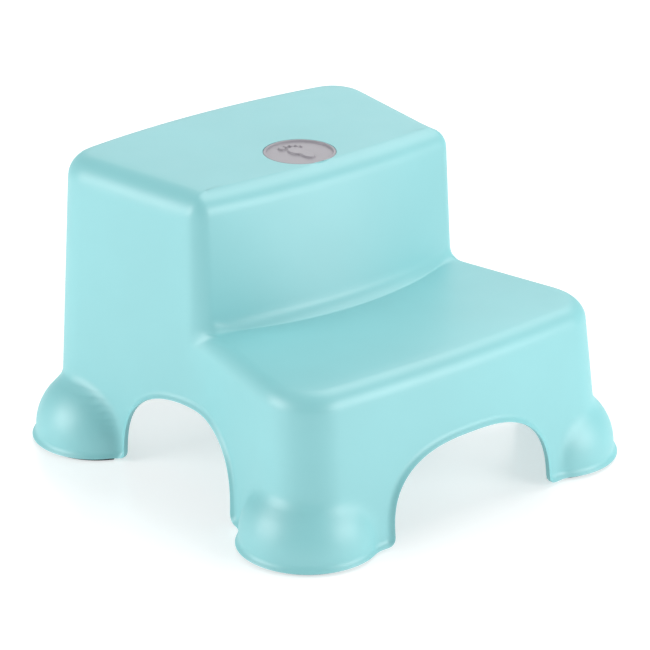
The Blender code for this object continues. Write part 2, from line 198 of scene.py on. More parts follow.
def rounded_corner(a, b, radius):
    """Distance to the corner of two faces with a rounded edge, negative inside."""
    a = a + radius
    b = b + radius
    outside = np.hypot(np.maximum(a, 0.0), np.maximum(b, 0.0))
    return outside + np.minimum(np.maximum(a, b), 0.0) - radius


def filleted_union(a, b, radius):
    inner = np.hypot(np.maximum(radius - a, 0.0), np.maximum(radius - b, 0.0))
    return np.maximum(radius, np.minimum(a, b)) - inner


def smoothstep(value):
    value = np.clip(value, 0.0, 1.0)
    return value * value * (3.0 - 2.0 * value)


def slope(field, points, step=0.0002):
    """Gradient of a distance field at each point."""
    parts = []
    for axis in range(3):
        shift = np.zeros(3)
        shift[axis] = step
        parts.append((field(points + shift) - field(points - shift)) / (2 * step))
    return np.stack(parts, axis=1)


def unit(vectors):
    return vectors / np.maximum(np.linalg.norm(vectors, axis=1, keepdims=True), 1e-12)


class BodyForm:
    """Distance to the outside of the moulded body, negative inside."""

    def __init__(self, sizes):
        self.sizes = sizes
        self.waist_y = RISER_Y - RISER_DRAFT * (sizes.height - sizes.lower_height)

    def plan(self, points):
        """Distance past the side wall, and how much of the end bows applies."""
        x, y, z = np.abs(points[:, 0]), points[:, 1], points[:, 2]
        half = self.sizes.waist + SIDE_DRAFT * (self.sizes.height - z)
        spread = half + FRONT_FLARE * soft_ramp(self.waist_y - y) + BACK_FLARE * soft_ramp(y - self.waist_y)
        bow = np.maximum(0.0, 1.0 - (x / spread) ** 2)
        return x - spread, bow

    def back(self, points, side, bow):
        edge = BACK_Y + BACK_DRAFT * (self.sizes.height - points[:, 2]) + BACK_BOW * bow
        return rounded_corner(side, points[:, 1] - edge, BACK_CORNER)

    def lower(self, points):
        side, bow = self.plan(points)
        z = points[:, 2]
        edge = FRONT_Y - FRONT_DRAFT * (self.sizes.lower_height - z) - FRONT_BOW * bow
        front = rounded_corner(side, edge - points[:, 1], FRONT_CORNER)
        around = np.maximum(front, self.back(points, side, bow))
        return rounded_corner(around, z - self.sizes.lower_height, self.sizes.lower_edge)

    def riser_bow(self, z):
        above = np.maximum(z - self.sizes.lower_height, 0.0)
        share = 1.0 - above / (self.sizes.height - self.sizes.lower_height)
        kick = KICK_DEPTH * np.maximum(0.0, 1.0 - above / KICK_HEIGHT) ** 2
        return RISER_BOW_TOP + (RISER_BOW_BASE - RISER_BOW_TOP) * share + kick

    def upper_edge(self, y):
        """Rounding of the upper tread's edge, which grows from the riser backwards."""
        growth = self.sizes.upper_back_edge - self.sizes.upper_edge
        return self.sizes.upper_edge + growth * smoothstep((y - EDGE_GROWTH_START) / EDGE_GROWTH_LENGTH)

    def upper(self, points):
        side, bow = self.plan(points)
        z = points[:, 2]
        edge = RISER_Y - RISER_DRAFT * (self.sizes.height - z) - self.riser_bow(z) * bow
        front = rounded_corner(side, edge - points[:, 1], RISER_CORNER)
        around = np.maximum(front, self.back(points, side, bow))
        return rounded_corner(around, z - self.sizes.height, self.upper_edge(points[:, 1]))

    def bell(self, points):
        x = np.abs(points[:, 0])
        y = points[:, 1]
        foot_x = np.where(y < 0.0, FRONT_FOOT_X, BACK_FOOT_X)
        radial = np.hypot(x - foot_x, np.abs(y) - FOOT_Y) / self.sizes.bell_radius
        rise = np.maximum(points[:, 2] - BELL_BASE, 0.0) / (self.sizes.bell_height - BELL_BASE)
        return (np.hypot(radial, rise) - 1.0) * self.sizes.bell_radius

    def distance(self, points):
        low, high, bell = self.lower(points), self.upper(points), self.bell(points)
        low_normal = unit(slope(self.lower, points))
        high_normal = unit(slope(self.upper, points))
        bell_normal = unit(slope(self.bell, points))
        turn = np.clip(1.0 - np.sum(low_normal * high_normal, axis=1), 0.0, 1.0)
        across = np.abs(points[:, 0]) / self.sizes.waist
        soften = smoothstep((across - RISER_END_START) / (1.0 - RISER_END_START))
        radius = CREASE_RADIUS + (RISER_END_RADIUS - CREASE_RADIUS) * soften
        block = filleted_union(low, high, radius * turn)
        block_normal = np.where((low < high)[:, None], low_normal, high_normal)
        turn = np.clip(1.0 - np.sum(block_normal * bell_normal, axis=1), 0.0, 1.0)
        return filleted_union(block, bell, BELL_FILLET * np.sqrt(turn))

    def normals(self, points):
        return unit(slope(self.distance, points))

    def settle(self, points, rounds):
        """Move each point straight onto the surface."""
        for _ in range(rounds):
            gradient = slope(self.distance, points)
            steepness = np.maximum(np.sum(gradient ** 2, axis=1, keepdims=True), LEAST_STEEPNESS)
            move = self.distance(points)[:, None] * gradient / steepness
            far = np.maximum(np.linalg.norm(move, axis=1, keepdims=True) / FARTHEST_MOVE, 1.0)
            points = points - move / far
        return points


def cast(field, base, heading, z, depth=0.0):
    """Where rays from the core, at height z, meet the level `depth` inside the surface."""
    near = np.zeros(len(base))
    far = np.full(len(base), REACH)
    for _ in range(CAST_HALVINGS):
        middle = (near + far) / 2
        inside = field(along(base, heading, z, middle)) < -depth
        near = np.where(inside, middle, near)
        far = np.where(inside, far, middle)
    return along(base, heading, z, near)


def along(base, heading, z, travel):
    plan = base + heading * travel[:, None]
    return np.column_stack([plan, np.broadcast_to(z, travel.shape)])


# ---------------------------------------------------------------- columns round the core

PATH_KNOTS = np.cumsum([0, CORE_X, CORE_CORNER, 2 * CORE_Y, CORE_CORNER, 2 * CORE_X, CORE_CORNER,
                        2 * CORE_Y, CORE_CORNER, CORE_X])
PATH_X = np.array([0, 1, 1, 1, 1, -1, -1, -1, -1, 0]) * CORE_X
PATH_Y = np.array([-1, -1, -1, 1, 1, 1, 1, -1, -1, -1]) * CORE_Y
PATH_TURN = np.radians([-90, -90, 0, 0, 90, 90, 180, 180, 270, 270])
ROUND = PATH_KNOTS[-1]
SIDE_CENTRE = CORE_X + CORE_CORNER + CORE_Y + SIDE_ARCH_Y
ARCH_CENTRES = (0.0, SIDE_CENTRE, ROUND / 2, ROUND - SIDE_CENTRE, ROUND)


def path(station):
    """Core point and outward heading at each station round the stool."""
    base = np.column_stack([np.interp(station, PATH_KNOTS, PATH_X), np.interp(station, PATH_KNOTS, PATH_Y)])
    angle = np.interp(station, PATH_KNOTS, PATH_TURN)
    return base, np.column_stack([np.cos(angle), np.sin(angle)])


def jamb(half_width, height):
    """One side of an arch, from the floor to the crown, with normals into the wall."""
    foot = ARCH_FOOT_RADIUS
    t = np.linspace(0.0, math.pi / 2, 600)
    across = half_width * np.cos(t) ** (2 / ARCH_POWER)
    across[-1] = 0.0
    rise = BOTTOM_Z + foot + (height - BOTTOM_Z - foot) * np.sin(t) ** (2 / ARCH_POWER)
    walked = np.concatenate([[0.0], np.cumsum(np.hypot(np.diff(across), np.diff(rise)))])
    marks = np.linspace(0.0, walked[-1], JAMB_STEPS + 1)
    curve = np.column_stack([np.interp(marks, walked, across), np.interp(marks, walked, rise)])
    turn = np.linspace(-math.pi / 2, -math.pi, FOOT_STEPS + 1)[:-1]
    foot_across = half_width + foot + foot * np.cos(turn)
    foot_arc = np.column_stack([foot_across, BOTTOM_Z + foot + foot * np.sin(turn)])
    outline = np.vstack([foot_arc, curve])
    tangent = np.gradient(outline, axis=0)
    tangent[0] = (-1.0, 0.0)
    tangent[-1] = (-1.0, 0.0)
    tangent /= np.linalg.norm(tangent, axis=1, keepdims=True)
    normal = np.column_stack([tangent[:, 1], -tangent[:, 0]])
    normal[:FOOT_STEPS] = np.column_stack([-np.cos(turn), -np.sin(turn)])
    return outline, normal


def leg_edge(start, end, half_start, half_end, height):
    """Lower edge of one leg, from crown to crown, as stations and heights, with normals."""
    first, first_normal = jamb(half_start, height)
    last, last_normal = jamb(half_end, height)
    first = first[::-1] + (start, 0.0)
    last = last * (-1.0, 1.0) + (end, 0.0)
    share = np.linspace(0.0, 1.0, LEG_COLUMNS + 1)[1:-1, None]
    base = first[-1] + (last[0] - first[-1]) * share
    up = np.tile((0.0, 1.0), (len(base), 1))
    outline = np.vstack([first, base, last])
    normals = np.vstack([first_normal[::-1], up, last_normal * (-1.0, 1.0)])
    return outline, normals


# ---------------------------------------------------------------- shell grids

class Shell:
    """Outer and inner grids of the moulded wall, gathered into one closed mesh."""

    def __init__(self, form):
        self.form = form
        self.points = []
        self.faces = []
        self.count = 0

    def add(self, grid, wrap=False):
        """Add a grid of points, rows by columns; its quads join neighbours."""
        rows, columns = grid.shape[:2]
        index = np.arange(rows * columns).reshape(rows, columns) + self.count
        if wrap:
            index = np.hstack([index, index[:, :1]])
        quads = np.stack([index[:-1, :-1], index[:-1, 1:], index[1:, 1:], index[1:, :-1]], axis=-1)
        self.points.append(grid.reshape(-1, 3))
        self.faces.extend(quads.reshape(-1, 4).tolist())
        self.count += rows * columns

    def fan(self, ring):
        """Close a ring of points with a disc."""
        columns = len(ring)
        self.points.append(np.vstack([ring, ring.mean(axis=0)]))
        for i in range(columns):
            self.faces.append((self.count + i, self.count + (i + 1) % columns, self.count + columns))
        self.count += columns + 1

    def closed_mesh(self, name):
        """The grids joined along their shared edges, which has to leave none open."""
        mesh = bpy.data.meshes.new(name)
        mesh.from_pydata(np.vstack(self.points).tolist(), [], self.faces)
        bm = bmesh.new()
        bm.from_mesh(mesh)
        bpy.data.meshes.remove(mesh)
        bmesh.ops.remove_doubles(bm, verts=bm.verts, dist=MERGE_DISTANCE)
        open_edges = sum(1 for edge in bm.edges if len(edge.link_faces) != 2)
        if open_edges:
            raise RuntimeError(f"the {name} has {open_edges} open edges")
        return bm


def wall_points(form, stations, heights):
    """Points of the outer face at the given stations and heights, and their headings."""
    base, heading = path(np.ravel(stations))
    return cast(form.distance, base, heading, np.ravel(heights)), heading


def lip_profile(offset, lip):
    """Outward roll of the wall near its lower edge, and of its inner face."""
    share = 1.0 - offset / RIM_OFFSETS[-1]
    rounding = np.maximum(0.0, RIM_OFFSETS[2] - offset) ** 2 / (2 * RIM_OFFSETS[2])
    roll = lip * share ** 2
    return roll - rounding, (roll + rounding) * INNER_ROLL


def add_leg(shell, quarter):
    """Add the wall of one leg, from crown to crown, and return its inner face's top row."""
    sizes = shell.form.sizes
    start, end = ARCH_CENTRES[quarter], ARCH_CENTRES[quarter + 1]
    halves = (sizes.front_arch, sizes.side_arch)
    half_start, half_end = halves if quarter % 2 == 0 else halves[::-1]
    outline, normals = leg_edge(start, end, half_start, half_end, sizes.arch_height)
    outer_rows = []
    inner_rows = []
    for offset in RIM_OFFSETS:
        spot = outline + normals * offset
        points, heading = wall_points(shell.form, spot[:, 0], spot[:, 1])
        inner = points - shell.form.normals(points) * sizes.wall
        inner[:, 2] = points[:, 2]
        roll, inner_roll = lip_profile(offset, sizes.lip)
        outward = np.column_stack([heading, np.zeros(len(heading))])
        outer_rows.append(points + outward * roll)
        inner_rows.append(inner + outward * inner_roll)
    forward = np.column_stack([-heading[:, 1], heading[:, 0], np.zeros(len(heading))])
    into = forward * normals[:, :1] + np.array((0.0, 0.0, 1.0)) * normals[:, 1:]
    bulge = np.where(outline[:, 1:] > BOTTOM_Z + 1e-6, RIM_BULGE, 0.0)
    rim = [outer_rows[0]]
    for share in (0.3, 0.7):
        rim.append(outer_rows[0] * (1 - share) + inner_rows[0] * share - into * bulge)
    rim.append(inner_rows[0])
    shell.add(np.array(rim))
    shell.add(np.array(outer_rows))
    shell.add(np.array(inner_rows))

    spot = outline + normals * RIM_OFFSETS[-1]
    side = FOOT_STEPS + JAMB_STEPS
    left = spot[side::-1]
    right = spot[-side - 1:]
    share = np.linspace(0.0, 1.0, LEG_COLUMNS + 1)[None, :, None]
    grid = left[:, None, :] * (1 - share) + right[:, None, :] * share
    points, heading = wall_points(shell.form, grid[:, :, 0], grid[:, :, 1])
    points = points.reshape(grid.shape[0], grid.shape[1], 3)
    inner = points.reshape(-1, 3) - shell.form.normals(points.reshape(-1, 3)) * sizes.wall
    inner = inner.reshape(points.shape)
    lift = inner_rows[-1]
    inner[:, 0] = lift[side::-1]
    inner[:, -1] = lift[-side - 1:]
    inner[0] = lift[side:len(lift) - side]
    shell.add(points)
    shell.add(inner)
    return inner[-1]


def riser_path(share):
    """Core point and heading along the riser; share runs from -1 to 1 between the side walls."""
    span = CORE_X + RISER_CORE_CORNER
    travel = np.abs(share) * span
    sign = np.where(share < 0, -1.0, 1.0)
    angle = np.interp(travel, [0.0, CORE_X, span], np.radians([-90.0, -90.0, 0.0]))
    base = np.column_stack([sign * np.minimum(travel, CORE_X), np.full(len(share), JUNCTION_Y)])
    return base, np.column_stack([sign * np.cos(angle), np.sin(angle)])


def edge_round(form, points, heading, radius, top):
    """Rows over a rounded edge, from the wall in over the tread."""
    normal = form.normals(points)[:, :2]
    normal /= np.linalg.norm(normal, axis=1, keepdims=True)
    facing = np.maximum(np.sum(normal * heading, axis=1), 0.5)
    rows = []
    for step in range(1, EDGE_ROWS + 1):
        angle = math.pi / 2 * step / EDGE_ROWS
        travel = radius * (1 - math.cos(angle)) / facing
        row = points.copy()
        row[:, :2] -= heading * travel[:, None]
        row[:, 2] = top - radius * (1 - math.sin(angle))
        rows.append(row)
    return rows


def upper_grid(form, stations, first_heights):
    """Rows of the outer face from the arches' crowns to the badge seat, for every column."""
    sizes = form.sizes
    columns = len(stations)
    base, heading = path(stations)
    junction = SIDE_CENTRE - SIDE_ARCH_Y + JUNCTION_Y
    signed = np.where(stations <= ROUND / 2, stations, stations - ROUND) / junction
    share = np.abs(signed)
    blend = smoothstep((share - BLEND_START) / (1.0 - BLEND_START))
    front = share < 1.0

    # the wall up to the lower shoulder
    low_shoulder = sizes.lower_height - sizes.lower_edge
    edge_radius = form.upper_edge(np.where(front, 0.0, base[:, 1]))
    high_shoulder = sizes.height - edge_radius
    back_start = low_shoulder - BACK_SPREAD
    back_crease = sizes.lower_height + BACK_SPREAD
    shoulder = low_shoulder * (1 - blend) + back_start * blend
    rows = []
    for step in range(1, WALL_ROWS + 1):
        z = first_heights + (shoulder - first_heights) * step / WALL_ROWS
        rows.append(cast(form.distance, base, heading, z))
    wall_rows = len(rows)
    foot = rows[-1]

    # front columns: over the lower edge, across the lower tread and up the riser
    core, riser_heading = riser_path(np.clip(signed, -1.0, 1.0))
    crease = cast(form.upper, core, riser_heading, sizes.lower_height)
    front_rows = edge_round(form, foot, heading, sizes.lower_edge, sizes.lower_height)
    start = front_rows[-1].copy()
    for step in range(1, TREAD_ROWS + 1):
        part = 1.0 - (1.0 - step / TREAD_ROWS) ** TREAD_CROWDING
        front_rows.append(start + (crease - start) * part)
    tread_count = len(front_rows)
    last = RISER_OFFSETS[-1] + sizes.lower_height
    levels = [np.full(columns, sizes.lower_height + offset) for offset in RISER_OFFSETS]
    for step in range(1, RISER_ROWS + 1):
        levels.append(last + (high_shoulder - last) * step / RISER_ROWS)

    # back columns: straight up the wall
    back_rows = []
    here = ~front
    crease_wall = cast(form.upper, core, riser_heading, back_crease)
    for number in range(tread_count):
        part = (number + 1) / tread_count
        z = back_start + (back_crease - back_start) * part
        row = foot + (crease_wall - foot) * part
        row[here] = cast(form.distance, base[here], heading[here], z)
        back_rows.append(row)
    front_climb = high_shoulder - sizes.lower_height
    for level in levels:
        z = back_crease + (high_shoulder - back_crease) * (level - sizes.lower_height) / front_climb
        z = level * (1 - blend) + z * blend
        row = cast(form.upper, core, riser_heading, z)
        row[here] = cast(form.distance, base[here], heading[here], z[here])
        front_rows.append(row)
        back_rows.append(row)

    rows += [a * (1 - blend[:, None]) + b * blend[:, None] for a, b in zip(front_rows, back_rows)]
    grid = np.array(rows)
    grid = settle_grid(form, grid, SETTLE_ROUNDS)
    near = (share > RELAX_FROM) & (share < RELAX_TO)
    relax(form, grid, near, wall_rows, share)

    # over the upper edge and in to the badge seat
    toward = np.where(front[:, None], riser_heading, heading)
    edge = np.array(edge_round(form, grid[-1], toward, edge_radius, sizes.height))
    edge = settle_grid(form, edge, SETTLE_ROUNDS)
    edge[-1, :, :2] += even_out(edge[-1, :, :2], RING_SMOOTHING)
    edge[-1, :, 2] = sizes.height
    centre = badge_centre()
    seat = sizes.badge_radius + GAP
    away = seat_headings(edge[-1, :, :2] - centre[:2])
    seat_ring = np.column_stack([centre[:2] + away * seat, np.full(columns, sizes.height)])
    tread = []
    for step in range(1, UPPER_ROWS + 1):
        part = step / UPPER_ROWS
        tread.append(edge[-1] * (1 - part) + seat_ring * part)
    return np.concatenate([grid, edge, np.array(tread)]), away


def even_out(ring, width):
    """How far each point of a closed ring moves to the average of its neighbours."""
    kernel = np.hanning(width + 2)[1:-1]
    kernel /= kernel.sum()
    half = width // 2
    padded = np.concatenate([ring[-half:], ring, ring[:half]])
    mean = np.stack([np.convolve(padded[:, axis], kernel, "valid") for axis in range(ring.shape[1])], axis=1)
    return mean - ring


def seat_headings(offsets):
    """Evened-out headings from the badge's centre to each column."""
    angle = np.unwrap(np.arctan2(offsets[:, 1], offsets[:, 0]))
    index = np.arange(len(angle))
    drift = (angle - angle[0] - 2 * math.pi * index / len(angle))[:, None]
    angle = angle + even_out(drift, SEAT_SMOOTHING)[:, 0]
    return np.column_stack([np.cos(angle), np.sin(angle)])


def settle_grid(form, grid, rounds):
    return form.settle(grid.reshape(-1, 3), rounds).reshape(grid.shape)


def relax(form, grid, near, first_row, share):
    """Even out the grid at the riser's ends, and keep it on the surface."""
    order = np.flatnonzero(near)
    groups = np.split(order, np.flatnonzero(np.diff(order) > 1) + 1)
    for group in groups:
        if len(group) < 3:
            continue
        patch = grid[first_row - RELAX_OVERLAP:, group].copy()
        nearness = np.clip(1.0 - np.abs(share[group] - RELAX_MIDDLE) / RELAX_REACH, 0.0, 1.0)
        strength = smoothstep(np.minimum(nearness * 2.0, 1.0))[None, 1:-1, None] * 0.5
        for _ in range(RELAX_ROUNDS):
            middle = (patch[:-2, 1:-1] + patch[2:, 1:-1] + patch[1:-1, :-2] + patch[1:-1, 2:]) / 4
            patch[1:-1, 1:-1] += (middle - patch[1:-1, 1:-1]) * strength
            patch[1:-1, 1:-1] = settle_grid(form, patch[1:-1, 1:-1], 1)
        grid[first_row - RELAX_OVERLAP:, group] = patch


def badge_centre():
    low, high = CAD_BADGE
    return np.array([(low[i] + high[i]) / 2 for i in range(3)])


# ---------------------------------------------------------------- small mesh helpers

def add_object(name, bm, material, sharp_degrees=35.0):
    bmesh.ops.recalc_face_normals(bm, faces=bm.faces)
    mesh = bpy.data.meshes.new(name)
    bm.to_mesh(mesh)
    bm.free()
    mesh.shade_smooth()
    mesh.set_sharp_from_angle(angle=math.radians(sharp_degrees))
    mesh.materials.append(material)
    obj = bpy.data.objects.new(name, mesh)
    bpy.context.scene.collection.objects.link(obj)
    return obj


def add_loft(bm, rings, closed=True):
    """Join rings of points into a solid; an open loft gets end caps."""
    loops = [[bm.verts.new(point) for point in ring] for ring in rings]
    pairs = list(zip(loops, loops[1:]))
    if closed:
        pairs.append((loops[-1], loops[0]))
    for first, second in pairs:
        for i in range(len(first)):
            j = (i + 1) % len(first)
            bm.faces.new((first[i], first[j], second[j], second[i]))
    if not closed:
        bm.faces.new(list(reversed(loops[0])))
        bm.faces.new(loops[-1])


def circle(centre, radius, z, segments):
    angles = [2 * math.pi * i / segments for i in range(segments)]
    return [(centre[0] + radius * math.cos(a), centre[1] + radius * math.sin(a), z) for a in angles]


# ---------------------------------------------------------------- finishes

def satin_plastic(name, base, roughness, grain_scale, grain_depth, tint=0.03, gloss_index=1.5):
    """Moulded plastic or rubber: fine grain, slightly uneven colour and gloss."""
    material = bpy.data.materials.new(name)
    material.use_nodes = True
    nodes = material.node_tree.nodes
    links = material.node_tree.links
    shader = nodes["Principled BSDF"]
    shader.inputs["IOR"].default_value = gloss_index
    place = nodes.new("ShaderNodeTexCoord")

    cloud = nodes.new("ShaderNodeTexNoise")
    cloud.inputs["Scale"].default_value = 9.0
    cloud.inputs["Detail"].default_value = 3.0
    links.new(place.outputs["Object"], cloud.inputs["Vector"])
    ramp = nodes.new("ShaderNodeValToRGB")
    ramp.color_ramp.elements[0].position = 0.30
    ramp.color_ramp.elements[0].color = (*[c * (1 - tint) for c in base], 1.0)
    ramp.color_ramp.elements[1].position = 0.70
    ramp.color_ramp.elements[1].color = (*[min(1.0, c * (1 + tint)) for c in base], 1.0)
    links.new(cloud.outputs["Fac"], ramp.inputs["Fac"])
    links.new(ramp.outputs["Color"], shader.inputs["Base Color"])

    sheen = nodes.new("ShaderNodeTexNoise")
    sheen.inputs["Scale"].default_value = 55.0
    sheen.inputs["Detail"].default_value = 4.0
    links.new(place.outputs["Object"], sheen.inputs["Vector"])
    gloss = nodes.new("ShaderNodeMapRange")
    gloss.inputs["To Min"].default_value = roughness - 0.04
    gloss.inputs["To Max"].default_value = roughness + 0.04
    links.new(sheen.outputs["Fac"], gloss.inputs["Value"])
    links.new(gloss.outputs["Result"], shader.inputs["Roughness"])

    grain = nodes.new("ShaderNodeTexNoise")
    grain.inputs["Scale"].default_value = grain_scale
    grain.inputs["Detail"].default_value = 2.0
    links.new(place.outputs["Object"], grain.inputs["Vector"])
    bump = nodes.new("ShaderNodeBump")
    bump.inputs["Strength"].default_value = 0.35
    bump.inputs["Distance"].default_value = grain_depth
    links.new(grain.outputs["Fac"], bump.inputs["Height"])
    links.new(bump.outputs["Normal"], shader.inputs["Normal"])
    return material


# ---------------------------------------------------------------- operators

class STOOL_OT_body(bpy.types.Operator):
    """Build the hollow moulded body: treads, riser, arched walls, bell feet and ribs"""
    bl_idname = "stool.body"
    bl_label = "Moulded body"

    def execute(self, context):
        sizes = context.scene.stool_sizes
        form = BodyForm(sizes)
        shell = Shell(form)
        crowns = [add_leg(shell, quarter) for quarter in range(4)]
        stations = []
        for quarter in range(4):
            start, end = ARCH_CENTRES[quarter], ARCH_CENTRES[quarter + 1]
            stations.append(np.linspace(start, end, LEG_COLUMNS + 1)[:-1])
        stations = np.concatenate(stations)
        first_heights = np.full(len(stations), sizes.arch_height + RIM_OFFSETS[-1])
        rows, away = upper_grid(form, stations, first_heights)
        crown = cast(form.distance, *path(stations), first_heights)
        outer = np.concatenate([crown[None], rows])
        inner = outer.reshape(-1, 3) - form.normals(outer.reshape(-1, 3)) * sizes.wall
        inner = inner.reshape(outer.shape)
        inner[0] = np.concatenate([row[:-1] for row in crowns])
        seat = sizes.badge_radius + GAP
        centre = badge_centre()
        underside = np.full(len(away), sizes.height - sizes.wall)
        boss = np.column_stack([centre[:2] + away * (seat + SEAT_WALL), underside])
        flat = UPPER_ROWS + 1
        inner[-flat:, :, 2] = sizes.height - sizes.wall
        for step in range(1, flat):
            part = step / UPPER_ROWS
            inner[step - flat] = inner[-flat] * (1 - part) + boss * part
        shell.add(outer, wrap=True)
        shell.add(inner, wrap=True)
        seat_floor = rows[-1] - (0.0, 0.0, SEAT_DEPTH)
        shell.add(np.array([rows[-1], seat_floor]), wrap=True)
        shell.fan(seat_floor)
        boss_foot = boss - (0.0, 0.0, SEAT_BOSS_DEPTH)
        shell.add(np.array([boss, boss_foot]), wrap=True)
        shell.fan(boss_foot)

        bm = shell.closed_mesh("shell")
        self.add_ribs(bm, form)
        self.add_peg_bosses(bm, sizes)
        finishes = context.scene.stool_finishes
        material = satin_plastic("mint_satin_plastic", finishes.mint, 0.46, 1500.0, 0.00003, 0.03, 1.75)
        body = add_object("stool_body_moulding", bm, material, 40.0)
        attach(body, BODY)
        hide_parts("stool_body")
        return {"FINISHED"}

    def add_ribs(self, bm, form):
        """Crossed ribs under both treads, with their ends inside the walls."""
        sizes = form.sizes
        for top, across, middle_y in ((sizes.height, UPPER_RIBS_Y, UPPER_RIBS_MIDDLE),
                                      (sizes.lower_height, LOWER_RIBS_Y, LOWER_RIBS_MIDDLE)):
            lines = [((0.0, y), (1.0, 0.0)) for y in across]
            lines += [((x, middle_y), (0.0, 1.0)) for x in RIBS_X]
            for spot, along_rib in lines:
                rings = []
                for drop, half in RIB_SECTION:
                    base = np.array([spot, spot])
                    heading = np.array([along_rib, (-along_rib[0], -along_rib[1])])
                    ends = cast(form.distance, base, heading, top - drop, RIB_END_DEPTH)
                    if top < sizes.height and along_rib[1]:
                        ends[0, 1] = min(ends[0, 1], LOWER_RIBS_END_Y)
                    side = np.array([along_rib[1], along_rib[0], 0.0]) * half
                    corners = [ends[0] + side, ends[0] - side, ends[1] - side, ends[1] + side]
                    rings.append([tuple(corner) for corner in corners])
                add_loft(bm, rings, closed=False)

    def add_peg_bosses(self, bm, sizes):
        """Short tubes inside the bells that take the pads' pegs."""
        for name in FEET:
            for peg in peg_places(name, sizes):
                rings = [circle(peg, PEG_BOSS_RADIUS, BOTTOM_Z + GAP, ROUND_SEGMENTS),
                         circle(peg, PEG_BOSS_RADIUS, PEG_BOSS_TOP, ROUND_SEGMENTS),
                         circle(peg, PEG_HOLE_RADIUS, PEG_BOSS_TOP, ROUND_SEGMENTS),
                         circle(peg, PEG_HOLE_RADIUS, BOTTOM_Z + GAP, ROUND_SEGMENTS)]
                add_loft(bm, rings)


FEET = ("front_left", "front_right", "back_left", "back_right")
PAD_INSET = 0.0005              # the pad's edge behind the bell's outside
PAD_CLEARANCE = 0.001           # between a pad's end and an arch
PAD_WIDTH = 0.015
PEG_SHARES = (0.15, 0.50, 0.85)  # places along the pad
PEG_INSET = 0.008               # peg axis behind the bell's outside
PEG_RADIUS = 0.0030
PEG_ROOT = 0.0015
PEG_SHOULDER = 0.0125
PEG_TIP_RADIUS = 0.0022
PEG_TIP = PAD_TOP + 0.012
PAD_STEPS = 72
# a pad's section from its outer edge inwards: share of the width and height above the floor
PAD_SECTION = (
    (0.00, 0.0020), (0.00, 0.0006), (0.03, 0.0001), (0.07, 0.0), (0.20, 0.0), (0.22, 0.0006), (0.29, 0.0006),
    (0.31, 0.0), (0.44, 0.0), (0.46, 0.0006), (0.53, 0.0006), (0.55, 0.0), (0.68, 0.0), (0.70, 0.0006),
    (0.77, 0.0006), (0.79, 0.0), (0.93, 0.0), (0.97, 0.0001), (1.00, 0.0006), (1.00, 0.0020),
)


def foot_place(name):
    """Plan centre of a bell foot."""
    low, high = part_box(f"foot_pad_{name}")
    x = FRONT_FOOT_X if name.startswith("front") else BACK_FOOT_X
    y = -FOOT_Y if name.startswith("front") else FOOT_Y
    return (math.copysign(x, low[0] + high[0]), y)


def reach_angle(distance, radius):
    """Half the arc of a circle that lies past a wall."""
    return math.acos(min(1.0, distance / radius))


def clear_angle(distance, radius):
    """Half the arc of a circle that stays on this side of an arch's jamb."""
    return math.asin(min(1.0, (distance - ARCH_FOOT_RADIUS - PAD_CLEARANCE) / radius))


def pad_angles(name, sizes, radius):
    """Where a circle about a foot meets its leg's walls or an arch's jamb, in order."""
    x, y = foot_place(name)
    form = BodyForm(sizes)
    probe = np.array([[0.0, y, BOTTOM_Z]])
    side = -form.plan(probe)[0][0] - sizes.wall
    to_jamb = abs(y - SIDE_ARCH_Y) - sizes.side_arch
    to_side = min(reach_angle(side - abs(x), radius), clear_angle(to_jamb, radius))
    half = sizes.waist + SIDE_DRAFT * (sizes.height - BOTTOM_Z)
    bow = max(0.0, 1.0 - (x / half) ** 2)
    if y < 0:
        end = -FRONT_Y + FRONT_DRAFT * (sizes.lower_height - BOTTOM_Z) + FRONT_BOW * bow
    else:
        end = BACK_Y + BACK_DRAFT * (sizes.height - BOTTOM_Z) + BACK_BOW * bow
    to_jamb = abs(x) - sizes.front_arch
    to_end = min(reach_angle(end - sizes.wall - abs(y), radius), clear_angle(to_jamb, radius))
    outer = 0.0 if x > 0 else math.pi
    if (x > 0) == (y > 0):
        return outer - to_side, outer + math.pi / 2 + to_end
    return outer - math.pi / 2 - to_end, outer + to_side


def peg_places(name, sizes):
    """Plan centres of the pegs of one pad."""
    radius = sizes.bell_radius - PEG_INSET
    start, end = pad_angles(name, sizes, radius)
    x, y = foot_place(name)
    places = []
    for share in PEG_SHARES:
        angle = start + (end - start) * share
        places.append((x + radius * math.cos(angle), y + radius * math.sin(angle)))
    return places


